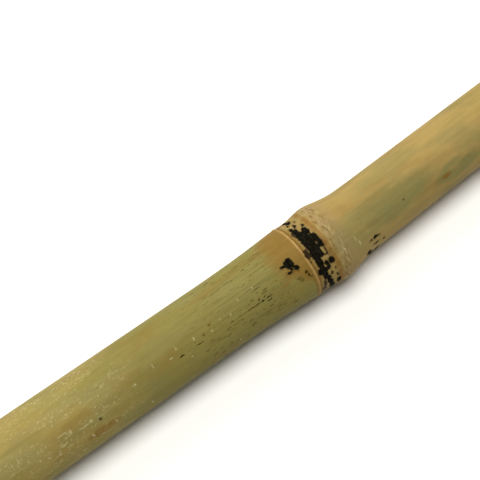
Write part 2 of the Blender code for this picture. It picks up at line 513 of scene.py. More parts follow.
class CaneShape(bpy.types.PropertyGroup):
    """The culm's own sizes."""

    butt_radius: length_property("Butt radius", "Radius of the culm at its thick end", 6.25)
    tip_radius: length_property("Tip radius", "Radius of the culm at its thin end", 5.85)
    ridge_height: length_property("Ridge height", "How far a nodal ridge stands out", 1.07)
    scar_height: length_property("Scar height", "How far the sheath scar's thin lip stands out", 0.13)
    mould_thickness: length_property("Mould thickness", "Thickness of the black crust in the node", 0.05)
    butt_bore: length_property("Butt bore", "Radius of the hollow at the butt's cut", 3.3)
    tip_bore: length_property("Tip bore", "Radius of the hollow at the tip's cut", 3.2)
    sides: IntProperty(name="Sides", description="Number of faces round the culm", default=144, min=24)


class CaneColours(bpy.types.PropertyGroup):
    """The colours of the culm's skin, of its node and of its cut ends."""

    green: colour_property("Green", "Skin below a node, where it stays greenest", "7d733b")
    straw: colour_property("Straw", "Skin half way along an internode", "8d7b40")
    grey_tan: colour_property("Grey tan", "Skin just above a node", "9a824b")
    grey_green: colour_property("Grey green", "Soft green clouds in the skin", "7b7545")
    tan: colour_property("Tan", "Soft brown clouds in the skin and the skin near a scar", "7c5f2a")
    scar: colour_property("Scar", "Thin lip left by the sheath", "a88852")
    # This dark brown paints shade: the line in the crevice above the scar and, with grime, the ridge's
    # creases. It also gives a stub its dark rim.
    crevice: colour_property("Crevice", "Line just above the scar", "65491c")
    groove: colour_property("Groove", "Skin between the scar and the ridge", "907844")
    foot: colour_property("Ridge foot", "Orange brown line at the foot of the ridge", "7d5a29")
    crest: colour_property("Crest", "Crest of the nodal ridge", "8f7951")
    # Bloom is also laid on the crests of the ridge's creases, where it is partly a painted highlight.
    bloom_and_highlight: colour_property("Bloom", "Pale wax and scuffs", "c0b787")
    dash: colour_property("Dashes", "Dark dashes along the fibres", "272200")
    rust: colour_property("Rust", "Orange brown spots", "5c3606")
    # The stain is darker than its own brown, so that it also carries painted shade. It also colours the
    # smears, the pith and the saw marks.
    stain_and_shade: colour_property("Stain", "Brown stain round the mould", "1c120a")
    mould: colour_property("Mould", "Black mould", "050502")
    dust: colour_property("Mould dust", "Paler specks in the black mould", "1c1d16")
    cut: colour_property("Cut", "Sawn face", "cdb47e")
    bundle: colour_property("Bundles", "Dark ends of the fibres in a sawn face", "7b5a2c")
    lining: colour_property("Lining", "Papery inside of the bore", "d9c79c")


class CaneStage(bpy.types.PropertyGroup):
    """The floor and the lights."""

    floor_colour: colour_property("Floor", "Colour of the floor", "f5f4ee")
    floor_size: length_property("Floor size", "Width of the floor", 8000.0)
    top_width: length_property("Top width", "Width of the light overhead", 800.0)
    side_width: length_property("Side width", "Width of the light behind", 1400.0)
    top_power: FloatProperty(
        name="Top power", description="Power of the light overhead", default=18.0, unit="POWER"
    )
    side_power: FloatProperty(
        name="Side power", description="Power of the light behind", default=15.0, unit="POWER"
    )
    sky: FloatProperty(name="Sky", description="Strength of the light from all round", default=0.12)


def blend(start, end, share):
    """The value that lies this share of the way from start to end."""
    return start + (end - start) * share


def fade(value, full, none):
    """1 at full, 0 at none, and a smooth step between them, for a number or an array."""
    share = np.clip((value - none) / (full - none), 0.0, 1.0)
    return share * share * (3 - 2 * share)


def waves(points, unevenness):
    """Smooth noise at these points, with waves of the size and height that the unevenness gives."""
    (along, across), height, seed = unevenness
    scale = Vector((1 / along, 1 / across, 1 / across))
    shift = Vector([seed * step for step in SEED_STEPS])
    return height * np.array([noise.noise(Vector(point) * scale + shift) for point in points])


def turn_from(angle, other):
    """The angle from other round to angle, from -180 to 180."""
    return (angle - other + 180) % 360 - 180


def ramp(distance):
    """A line of slope 1 that starts at a node and bends in gently over the node's own length."""
    span = BEND_END - BEND_START
    beyond = np.maximum(distance - BEND_START, 0.0)
    return np.where(beyond < span, beyond**2 / (2 * span), beyond - span / 2)


def sideways(x):
    """How far the culm's axis lies to the side: it turns a little at each node, left and right."""
    slopes = [math.tan(math.radians(heading)) for heading in HEADINGS]
    side = slopes[0] * (x + HALF_LENGTH)
    for place, before, after in zip(NODE_PLACES, slopes, slopes[1:]):
        side = side + (after - before) * ramp(x - place)
    return side


def bow(x):
    """The slight arch of each internode, which is nothing at the nodes."""
    arch = np.zeros_like(x)
    ridges = [place + RIDGE_DISTANCE for place in NODE_PLACES]
    for start, end in zip(ridges, ridges[1:]):
        share = np.clip((x - start) / (end - start), 0.0, 1.0)
        arch += INTERNODE_BOW * np.sin(math.pi * share) ** 2
    return arch


def lean(distance, turn):
    """How far a ring is shifted along the culm: near the branch the scar dips and the ridge arches."""
    near_branch = fade(np.abs(turn), 0.0, BRANCH_REACH)
    scar = -SCAR_DIP * near_branch
    ridge = RIDGE_LEAN * np.cos(np.radians(turn)) + RIDGE_ARCH * near_branch
    below = scar * fade(distance, 0.0, NODE_PROFILE[0][0])
    between = blend(scar, ridge, np.clip(distance / RIDGE_DISTANCE, 0.0, 1.0))
    above = ridge * fade(distance, RIDGE_DISTANCE, NODE_PROFILE[-1][0])
    return np.where(distance <= 0, below, np.where(distance <= RIDGE_DISTANCE, between, above))


def swelling(distance):
    """NODE_PROFILE as a smooth line: the mean of it a little way to each side."""
    distances, heights = zip(*NODE_PROFILE)
    steps = np.linspace(-PROFILE_SOFTNESS, PROFILE_SOFTNESS, PROFILE_READINGS)
    return np.mean([np.interp(distance + step, distances, heights) for step in steps], axis=0)


def stub_share(distance, turn, radius):
    """How far out a place lies on the trimmed branch's stub: 0 at its middle and 1 at its rim."""
    around = np.radians(turn) * radius
    along = distance - STUB_DISTANCE
    return np.hypot(along / (STUB_LENGTH / 2), around / (STUB_WIDTH / 2))


def patch_depth(distance, angle, patches, radius):
    """How far inside the nearest patch of mould each place lies: less than 0 is outside."""
    depth = np.full(len(distance), NO_MOULD)
    for place, middle, half_length, half_width, squareness in patches:
        along = np.abs(distance - place) / half_length
        around = np.abs(np.radians(turn_from(angle, middle))) * radius / half_width
        out = (along**squareness + around**squareness) ** (1 / squareness)
        depth = np.maximum(depth, (1 - out) * min(half_length, half_width))
    return depth


def scattered_patches(number):
    """Mould for a node: a broken band that runs part of the way round its groove, and spots near it."""
    draw = random.Random(SCATTER_SEED + number)
    patches = []
    angle, middle = draw.uniform(0, 360), draw.uniform(*BAND_STARTS)
    lowest, highest = BAND_LIMITS
    for _ in range(draw.randint(*BAND_PATCHES)):
        middle = min(max(middle + draw.uniform(-BAND_WANDER, BAND_WANDER), lowest), highest)
        half_length, half_width = draw.uniform(*BAND_HALF_LENGTHS), draw.uniform(*BAND_HALF_WIDTHS)
        patches.append((middle, angle % 360, half_length, half_width, BAND_SQUARENESS))
        angle += BAND_STEP
    for _ in range(SPOTS):
        place = draw.choice([draw.uniform(*stretch) for stretch in SPOT_STRETCHES])
        size = draw.uniform(*SPOT_SIZES)
        angle, width = draw.uniform(0, 360), draw.uniform(*SPOT_WIDTHS)
        patches.append((place, angle, size, size * width, draw.choice(SPOT_SQUARENESS)))
    return patches


def select_only(mesh, kind, chosen):
    """Selects these vertices, edges or faces in edit mode and nothing else."""
    bpy.ops.mesh.select_mode(type=kind)
    bpy.ops.mesh.select_all(action="DESELECT")
    for item in chosen:
        item.select_set(True)
    mesh.select_flush_mode()
    bmesh.update_edit_mesh(bpy.context.edit_object.data)


def cut_across(places):
    """Cuts a ring round the bar at each of these places along X."""
    for x in places:
        bpy.ops.mesh.select_all(action="SELECT")
        bpy.ops.mesh.bisect(plane_co=(x * MM, 0, 0), plane_no=(1, 0, 0))


def divide_between(start, end, rings):
    """Divides the long edges that run from start to end along X by more rings."""
    mesh = bmesh.from_edit_mesh(bpy.context.edit_object.data)
    low, high = min(start, end) * MM, max(start, end) * MM
    chosen = []
    for edge in mesh.edges:
        first, last = sorted(corner.co.x for corner in edge.verts)
        if abs(first - low) < SAME_PLACE * MM and abs(last - high) < SAME_PLACE * MM:
            chosen.append(edge)
    select_only(mesh, "EDGE", chosen)
    bpy.ops.mesh.subdivide_edgering(
        number_cuts=rings, interpolation="LINEAR", smoothness=0, profile_shape_factor=0
    )


def hollow_end(end, floor, bore):
    """Insets the bar's end to the wall's thickness and pushes the middle in as far as its rounded floor."""
    mesh = bmesh.from_edit_mesh(bpy.context.edit_object.data)
    outwards = math.copysign(1.0, end)
    faces = [face for face in mesh.faces if face.normal.x * outwards > SQUARE_ON]
    select_only(mesh, "FACE", faces)
    bpy.ops.mesh.inset(thickness=CUT_BEVEL * MM, depth=CUT_BEVEL * MM)
    wall = (BAR_RADIUS - CUT_BEVEL - bore) / CUT_FACE_STEPS
    for _ in range(CUT_FACE_STEPS):
        bpy.ops.mesh.inset(thickness=wall * MM)
    at, share = end, 1.0
    for next_share, before_floor in HOLLOW_ROUNDING:
        x = floor + outwards * before_floor
        bpy.ops.mesh.extrude_region_move(TRANSFORM_OT_translate={"value": ((x - at) * MM, 0, 0)})
        grow = next_share / share
        bpy.ops.transform.resize(value=(1, grow, grow), center_override=(x * MM, 0, 0))
        at, share = x, next_share
    bpy.ops.mesh.poke()


def ring_stretches(limit):
    """The stretches that the bar is cut into, out to this limit, and by how many rings each is divided."""
    stretches = []
    for number, place in enumerate(NODE_PLACES):
        detail = 1.0 if number == SHOWN_NODE else OTHER_NODES_SHARE
        for start, end, rings in ZONES:
            low, high = max(place + start, -limit), min(place + end, limit)
            stretches.append((low, high, max(1, round(rings * detail * (high - low) / (end - start)))))
    nodes = [(place + ZONES[0][0], place + ZONES[-1][1]) for place in NODE_PLACES]
    for (_, start), (end, _) in zip(nodes, nodes[1:]):
        stretches.append((start, end, INTERNODE_RINGS))
    if nodes[0][0] > -limit:
        stretches.append((-limit, nodes[0][0], SAWN_INTERNODE_RINGS))
    if nodes[-1][1] < limit:
        stretches.append((nodes[-1][1], limit, SAWN_INTERNODE_RINGS))
    return stretches


def straight_bar(shape):
    """A straight round bar with rings where the nodes need them and a hollow in each end."""
    limit = HALF_LENGTH - CUT_BEVEL
    bpy.ops.object.select_all(action="DESELECT")
    bpy.ops.mesh.primitive_cylinder_add(
        vertices=shape.sides, radius=BAR_RADIUS * MM, depth=2 * limit * MM, rotation=(0, math.pi / 2, 0)
    )
    bpy.ops.object.transform_apply(location=True, rotation=True, scale=True)
    culm = bpy.context.active_object
    culm.name = "culm"
    bpy.ops.object.mode_set(mode="EDIT")
    stretches = ring_stretches(limit)
    borders = {x for start, end, _ in stretches for x in (start, end)}
    cut_across(sorted(borders - {-limit, limit}))
    for start, end, rings in stretches:
        divide_between(start, end, rings)
    butt_floor = NODE_PLACES[0] + RIDGE_DISTANCE - NODE_WALL
    tip_floor = NODE_PLACES[-1] + RIDGE_DISTANCE + NODE_WALL
    for end, floor, bore in (
        (-HALF_LENGTH, butt_floor, shape.butt_bore / MM),
        (HALF_LENGTH, tip_floor, shape.tip_bore / MM),
    ):
        hollow_end(end, floor, bore)
        inner = floor + math.copysign(HOLLOW_ROUNDING[0][1], end)
        divide_between(end, inner, BORE_RINGS)
    bpy.ops.object.mode_set(mode="OBJECT")
    return culm


class Bar:
    """What shaping needs to know of each point of the straight bar, all in millimetres and degrees."""

    def __init__(self, mesh):
        points = np.empty(len(mesh.vertices) * 3)
        mesh.vertices.foreach_get("co", points)
        self.points = points.reshape(-1, 3) / MM
        self.x = self.points[:, 0]
        self.radius = np.hypot(self.points[:, 1], self.points[:, 2])
        self.angle = np.degrees(np.arctan2(self.points[:, 2], self.points[:, 1])) % 360
        self.skin = self.radius > BAR_RADIUS - CUT_BEVEL / 2
        places = np.array(NODE_PLACES)
        middles = (places[1:] + places[:-1]) / 2
        self.node = np.searchsorted(middles, self.x)
        self.beyond = self.x - places[self.node]
        self.turn = turn_from(self.angle, np.array(BRANCH_ANGLES)[self.node])


def patches_on(bar, shown, others):
    """The depth inside the nearest patch at each point of the skin, whose edge fine noise makes ragged."""
    depth = np.full(len(bar.x), NO_MOULD)
    for number in range(len(NODE_PLACES)):
        near = bar.skin & (bar.node == number) & (np.abs(bar.beyond) < ZONES[-1][1])
        patches = shown if number == SHOWN_NODE else others(number)
        found = patch_depth(bar.beyond[near], bar.angle[near], patches, BAR_RADIUS)
        for unevenness in MOULD_RAGGEDNESS:
            found = found + waves(bar.points[near], unevenness) * fade(found, 0.0, -MOULD_RAGGED_REACH)
        depth[near] = found
    return depth


def mould_on(bar):
    """The depth of black mould at each point of the skin, less the bare holes on the shown node."""
    depth = patches_on(bar, MOULD_PATCHES, scattered_patches)
    here = bar.node == SHOWN_NODE
    holes = patch_depth(bar.beyond[here], bar.angle[here], MOULD_HOLES, BAR_RADIUS)
    depth[here] = np.minimum(depth[here], -holes)
    return depth


def smears_on(bar):
    """The depth of brown mould: placed as listed on the shown node, and two patches on each other one."""
    return patches_on(bar, SMEARS, lambda number: scattered_patches(number + len(NODE_PLACES))[:2])


def from_scar(bar):
    """The distance beyond the scar as its ragged lip runs, which wanders a little along the culm."""
    return bar.beyond - waves(bar.points * (0, 1, 1), SCAR_WANDER)


def tan_below(bar):
    """How tan the skin is below each scar, from 0 to 1. The tan reaches furthest on one side."""
    side = np.abs(turn_from(bar.angle, np.array(TAN_ANGLES)[bar.node]))
    reach = blend(TAN_LEAST, TAN_MOST, fade(side, *TAN_TURNS))
    reach = reach * (1 + waves(bar.points, TAN_RAGGEDNESS))
    full, none = TAN_EDGE
    return np.where(bar.beyond < TAN_ABOVE_SCAR, fade(-bar.beyond, full * reach, none * reach), 0.0)


def plain_radius(x, shape):
    """The radius of the culm between its nodes, which tapers from butt to tip."""
    return blend(shape.butt_radius / MM, shape.tip_radius / MM, x / (2 * HALF_LENGTH) + 0.5)


def outside_radius(bar, shape, mould):
    """The skin's distance from the culm's axis: taper, nodes, scar, stubs, mould and unevenness."""
    ridge = shape.ridge_height / MM
    swell = swelling(bar.beyond) * ridge * (1 + RIDGE_UNEVENNESS * np.cos(np.radians(bar.turn)))
    lip = np.exp(-((from_scar(bar) / SCAR_WIDTH) ** 2)) * shape.scar_height / MM
    lip = lip * (1 + waves(bar.points, SCAR_CHIPS))
    share = stub_share(bar.beyond, bar.turn, BAR_RADIUS + ridge)
    stub = STUB_HEIGHT * fade(share, STUB_EDGE, 2 - STUB_EDGE) - PITH_DEPTH * fade(share, 0.0, PITH_SHARE)
    crust = shape.mould_thickness / MM * fade(mould, CRUST_EDGE, 0.0) * (1 + waves(bar.points, CRUST_LUMPS))
    uneven = sum(waves(bar.points, unevenness) for unevenness in RELIEF)
    on_ridge = fade(np.abs(bar.beyond - RIDGE_DISTANCE), 0.0, RIDGE_RELIEF_REACH)
    knobs = waves(bar.points, RIDGE_RELIEF) * on_ridge
    return plain_radius(bar.x, shape) + swell + lip + stub + crust + uneven + knobs


def shape_bar(culm, shape, mould, bar):
    """Moves the bar's points out to the culm's own outline, and on to its bent axis above the ground."""
    outside = outside_radius(bar, shape, mould)
    bore = np.where(bar.x < 0, shape.butt_bore, shape.tip_bore) / MM
    share = np.clip((bar.radius - bore) / (BAR_RADIUS - CUT_BEVEL - bore), 0.0, 1.0)
    inside = np.where(bar.radius > bore, bore + share * (outside - CUT_BEVEL - bore), bar.radius)
    radius = np.where(bar.skin, outside, inside)
    radius = radius * (1 + OVALNESS * np.cos(2 * np.radians(bar.angle - OVAL_ANGLE)))
    x = bar.x + np.where(bar.skin, lean(bar.beyond, bar.turn), 0.0)
    height = plain_radius(x, shape) + shape.ridge_height / MM - REST_FLAT_DEPTH + bow(x)
    points = np.stack(
        [
            x,
            sideways(x) + radius * np.cos(np.radians(bar.angle)),
            height + radius * np.sin(np.radians(bar.angle)),
        ],
        axis=1,
    )
    points[:, 1] -= (points[:, 1].max() + points[:, 1].min()) / 2
    points = np.clip(points * MM, CULM_LOW, CULM_HIGH)
    culm.data.vertices.foreach_set("co", points.ravel())
    culm.data.update()


def store(mesh, name, kind, domain, field, values):
    """Keeps these values on the mesh for its materials to read."""
    layer = mesh.attributes.new(name, kind, domain)
    layer.data.foreach_set(field, np.asarray(values, dtype=np.float32).ravel())


def unrolled(mesh, bar):
    """For each corner of each face, its place on the skin laid flat: along, and round from the top."""
    starts = np.empty(len(mesh.polygons), dtype=np.int32)
    mesh.polygons.foreach_get("loop_start", starts)
    corners = np.empty(len(mesh.loops), dtype=np.int32)
    mesh.loops.foreach_get("vertex_index", corners)
    flat = bar.points[corners]
    sizes = np.diff(np.append(starts, len(corners)))
    middle_y = np.repeat(np.add.reduceat(flat[:, 1], starts), sizes)
    middle_z = np.repeat(np.add.reduceat(flat[:, 2], starts), sizes)
    middle = turn_from(np.degrees(np.arctan2(middle_z, middle_y)), 90.0)
    own = turn_from(bar.angle[corners], 90.0)
    round_from_top = middle + turn_from(own, middle)
    around = np.radians(round_from_top) * BAR_RADIUS
    return np.stack([flat[:, 0], around, np.zeros(len(flat))], axis=1)


def keep_places(culm, bar, mould):
    """Keeps on the mesh what its patterns follow: the fibres, nodes, internodes, mould and stubs."""
    mesh = culm.data
    ends = np.array([-HALF_LENGTH - SAWN_OFF, *NODE_PLACES, HALF_LENGTH + SAWN_OFF])
    after = np.searchsorted(NODE_PLACES, bar.x)
    share = (bar.x - ends[after]) / (ends[after + 1] - ends[after])
    rim = STUB_EDGE - stub_share(bar.beyond, bar.turn, BAR_RADIUS)
    store(mesh, "fibre", "FLOAT_VECTOR", "POINT", "vector", bar.points)
    store(mesh, "laid_flat", "FLOAT_VECTOR", "CORNER", "vector", unrolled(mesh, bar))
    for name, values in (
        ("beyond_scar", from_scar(bar)),
        ("tan_below", tan_below(bar)),
        ("internode_share", share),
        ("mould_depth", mould),
        ("smear_depth", smears_on(bar)),
        ("stub_depth", rim),
    ):
        store(mesh, name, "FLOAT", "POINT", "value", values)


def sort_faces(culm, bar):
    """Gives each face its material: the skin, the sawn face of an end, or the lining of its bore."""
    skin, sawn, lining = range(3)
    for face in culm.data.polygons:
        corners = list(face.vertices)
        at_end = abs(bar.x[corners[0]]) > HALF_LENGTH - 2 * CUT_BEVEL
        if bar.skin[corners].all():
            face.material_index = skin
        elif at_end and np.ptp(bar.x[corners]) < 1.5 * CUT_BEVEL:
            face.material_index = sawn
        else:
            face.material_index = lining


def add(tree, kind, inputs=None, **settings):
    """Adds a node with its settings. Each input is given a value, or the socket that feeds it."""
    node = tree.nodes.new(kind)
    for name, value in settings.items():
        setattr(node, name, value)
    for name, value in (inputs or {}).items():
        if isinstance(value, bpy.types.NodeSocket):
            tree.links.new(value, node.inputs[name])
        else:
            node.inputs[name].default_value = value
    return node


def opaque(colour):
    """A colour of the panel with full alpha, as a node's socket takes it."""
    return (*colour, 1.0)


def new_material(name):
    """A material and the parts of it that are needed: its tree and its shader."""
    material = bpy.data.materials.new(name)
    material.use_nodes = True
    tree = material.node_tree
    return material, tree, tree.nodes["Principled BSDF"]


def fill_ramp(ramp_node, stops):
    """Sets a colour ramp's stops: each has a place from 0 to 1 and a colour with alpha."""
    elements = ramp_node.color_ramp.elements
    while len(elements) < len(stops):
        elements.new(0.5)
    for element, (place, colour) in zip(elements, stops):
        element.position = place
        element.color = colour


def grain(tree, fibre, name):
    """Noise from 0 to 1 that is drawn out along the fibres, as PATTERNS says under this name."""
    along, across, shift, detail = PATTERNS[name]
    stretched = add(
        tree,
        "ShaderNodeMapping",
        {"Vector": fibre, "Location": (shift, shift, shift), "Scale": (1 / along, 1 / across, 1 / across)},
    )
    return add(
        tree,
        "ShaderNodeTexNoise",
        {"Vector": stretched.outputs[0], "Scale": 1.0, "Detail": detail, "Roughness": 0.55},
    ).outputs["Fac"]


def step_up(tree, value, low, high, top=1.0):
    """0 below low, top above high, and a smooth step between them."""
    return add(
        tree,
        "ShaderNodeMapRange",
        {"Value": value, "From Min": low, "From Max": high, "To Min": 0.0, "To Max": top},
        interpolation_type="SMOOTHSTEP",
    ).outputs["Result"]


def picked(tree, fibre, name):
    """A pattern, picked out as PICKED says under its name."""
    return step_up(tree, grain(tree, fibre, name), *PICKED[name])


def laid_over(tree, below, colour, amount):
    """Lays a colour over what is below it, as thick as amount says."""
    return add(tree, "ShaderNodeMix", {0: amount, 6: below, 7: colour}, data_type="RGBA").outputs[2]


def both(tree, first, second, operation="MULTIPLY"):
    """Two values brought together, by multiplying them unless told otherwise."""
    return add(tree, "ShaderNodeMath", {0: first, 1: second}, operation=operation).outputs[0]


def wavering(tree, place):
    """A place moved a little this way and that, so that what is drawn there has a ragged outline."""
    cloud = add(tree, "ShaderNodeTexNoise", {"Vector": place, "Scale": 1 / MARK_WAVES, "Detail": 2.0})
    shift = cloud.outputs["Color"]
    for operation, value in (("SUBTRACT", (0.5, 0.5, 0.5)), ("MULTIPLY", MARK_SHIFT)):
        shift = add(tree, "ShaderNodeVectorMath", {0: shift, 1: value}, operation=operation).outputs[0]
    return add(tree, "ShaderNodeVectorMath", {0: place, 1: shift}, operation="ADD").outputs[0]


def single_marks(tree, flat, marks):
    """1 on each of these marks and 0 away from them. Each is a long oval laid along the fibres."""
    found = None
    for x, angle, half_length, half_width in marks:
        around = math.radians(turn_from(angle, 90.0)) * BAR_RADIUS
        scale = (1 / (MARK_FADE * half_length), 1 / (MARK_FADE * half_width), 1.0)
        shift = (-x * scale[0], -around * scale[1], 0.0)
        placed = add(tree, "ShaderNodeMapping", {"Vector": flat, "Location": shift, "Scale": scale})
        oval = add(
            tree, "ShaderNodeTexGradient", {"Vector": placed.outputs[0]}, gradient_type="SPHERICAL"
        ).outputs["Fac"]
        found = oval if found is None else both(tree, found, oval, "MAXIMUM")
    return step_up(tree, found, 0.0, MARK_FULL)


def between(tree, value, stretch):
    """1 in the middle of a stretch given by four places, with a smooth rise before it and a fall after."""
    start, full, ending, end = stretch
    return both(tree, step_up(tree, value, start, full), step_up(tree, value, end, ending))


def ground_colour(tree, fibre, flat, share, edges, colours):
    """The skin's ground: grey tan above a node, then straw, then green below the next, with soft clouds."""
    drift = both(tree, grain(tree, fibre, "ground drift"), 0.5, "SUBTRACT")
    wandering = both(tree, share, both(tree, drift, GROUND_WANDER), "ADD")
    ground = add(tree, "ShaderNodeValToRGB", {0: wandering})
    fill_ramp(ground, [(place, opaque(getattr(colours, name))) for place, name in GROUND])
    colour = ground.outputs["Color"]
    placed_clouds = both(tree, single_marks(tree, flat, CLOUDS), edges)
    clouds = both(tree, picked(tree, fibre, "green clouds"), placed_clouds, "MAXIMUM")
    colour = laid_over(tree, colour, opaque(colours.grey_green), clouds)
    return laid_over(tree, colour, opaque(colours.tan), picked(tree, fibre, "brown clouds"))


def node_colour(tree, colour, fibre, beyond, colours):
    """The rings of a node, from the pale scar to the crest of the ridge, laid unevenly over the ground."""
    low, high = NODE_TINTED
    place = add(tree, "ShaderNodeMapRange", {"Value": beyond, "From Min": low, "From Max": high})
    tints = add(tree, "ShaderNodeValToRGB", {0: place.outputs["Result"]})
    stops = [
        ((at - low) / (high - low), (*getattr(colours, name), amount)) for at, name, amount in NODE_TINTS
    ]
    fill_ramp(tints, stops)
    limits = {"From Min": 0.3, "From Max": 0.7, "To Min": 0.45, "To Max": 1.1}
    uneven = add(tree, "ShaderNodeMapRange", {"Value": grain(tree, fibre, "node mottle"), **limits})
    amount = both(tree, tints.outputs["Alpha"], uneven.outputs["Result"])
    return laid_over(tree, colour, tints.outputs["Color"], amount)


def streaked(tree, colour, fine, broad, mottle):
    """Streaks along the fibres, and a short mottle, lighten and darken the skin."""
    streak = both(tree, both(tree, fine, FINE_DEPTH), both(tree, broad, BROAD_DEPTH), "ADD")
    streak = both(tree, streak, both(tree, mottle, MOTTLE_DEPTH), "ADD")
    streak = both(tree, streak, DARKEST_STREAK, "ADD")
    return add(tree, "ShaderNodeVectorMath", {0: colour, 1: streak}, operation="MULTIPLY").outputs[0]


def dark_marks(tree, fibre, flat, beyond):
    """Ragged dashes in rows, and threads, stand close below a scar, and single marks each at its place."""
    dashed = between(tree, beyond, DASHED)
    dashes = both(tree, picked(tree, fibre, "dashes"), picked(tree, fibre, "dash rows"))
    dashes = both(tree, dashes, both(tree, dashed, DASH_STRENGTH))
    dark = both(tree, single_marks(tree, flat, DARK_MARKS), DARK_STRENGTH)
    faint = both(tree, single_marks(tree, flat, FAINT_MARKS), FAINT_STRENGTH)
    threads = both(tree, picked(tree, fibre, "threads"), dashed)
    for more in (dashes, faint, threads):
        dark = both(tree, dark, more, "MAXIMUM")
    return dark


def rust_marks(tree, fibre, flat, beyond):
    """Orange brown spots at their places, others strewn thinly, and fine specks near the scar."""
    specks = both(tree, picked(tree, fibre, "rust specks"), between(tree, beyond, SPECKED))
    strewn = both(tree, picked(tree, fibre, "strewn rust"), specks, "MAXIMUM")
    placed = both(tree, single_marks(tree, flat, RUST_MARKS), RUST_STRENGTH)
    return both(tree, placed, strewn, "MAXIMUM")


def pale_marks(tree, fibre, flat, beyond):
    """Nicks at their places, and small soft scratches and a faint haze where the skin is scuffed."""
    everywhere = step_up(tree, beyond, *LIGHTLY_SCUFFED)
    where = both(tree, between(tree, beyond, SCUFFED), everywhere, "MAXIMUM")
    where = both(tree, where, picked(tree, fibre, "scuffed clouds"))
    along, across = picked(tree, fibre, "scuffs along"), picked(tree, fibre, "scuffs across")
    scratches = both(tree, both(tree, along, across, "MAXIMUM"), where)
    nicks = both(tree, single_marks(tree, flat, PALE_MARKS), NICK_STRENGTH)
    pale = both(tree, both(tree, scratches, SCRATCH_STRENGTH), nicks, "MAXIMUM")
    return both(tree, pale, both(tree, where, HAZE_STRENGTH), "MAXIMUM")


def trimmed_branch(tree, colour, fibre, stub, colours):
    """The stub of the trimmed branch: a weathered cut with a dark ragged rim and a dark pith."""
    chips = both(tree, grain(tree, fibre, "stub chips"), 0.5, "SUBTRACT")
    stub = both(tree, stub, both(tree, chips, STUB_RAGGEDNESS), "ADD")
    colour = laid_over(tree, colour, opaque(colours.crevice), step_up(tree, stub, *STUB_RIM))
    weathered = picked(tree, fibre, "stub weathering")
    old_cut = laid_over(tree, opaque(colours.scar), opaque(colours.bundle), weathered)
    colour = laid_over(tree, colour, old_cut, step_up(tree, stub, *STUB_CUT))
    pith = step_up(tree, stub, STUB_EDGE - PITH_SHARE, STUB_EDGE - PITH_SHARE / 2, PITH_STRENGTH)
    return laid_over(tree, colour, opaque(colours.stain_and_shade), pith)


def moulded(tree, colour, fibre, mould, smear, colours):
    """Mould: a matt black crust with crisp edges, beside brown smears. Gives the colour, and the crust."""
    speckle = both(tree, grain(tree, fibre, "mould speckle"), 0.5, "SUBTRACT")
    speckle = both(tree, speckle, SPECKLE_DEPTH)
    smeared = step_up(tree, both(tree, smear, speckle, "ADD"), *SMEARED)
    colour = laid_over(tree, colour, opaque(colours.stain_and_shade), smeared)
    depth = both(tree, mould, speckle, "ADD")
    colour = laid_over(tree, colour, opaque(colours.stain_and_shade), step_up(tree, depth, *STAINED))
    crust = step_up(tree, depth, *CRUSTED)
    black = laid_over(tree, opaque(colours.mould), opaque(colours.dust), picked(tree, fibre, "mould dust"))
    return laid_over(tree, colour, black, both(tree, crust, CRUST_STRENGTH)), crust


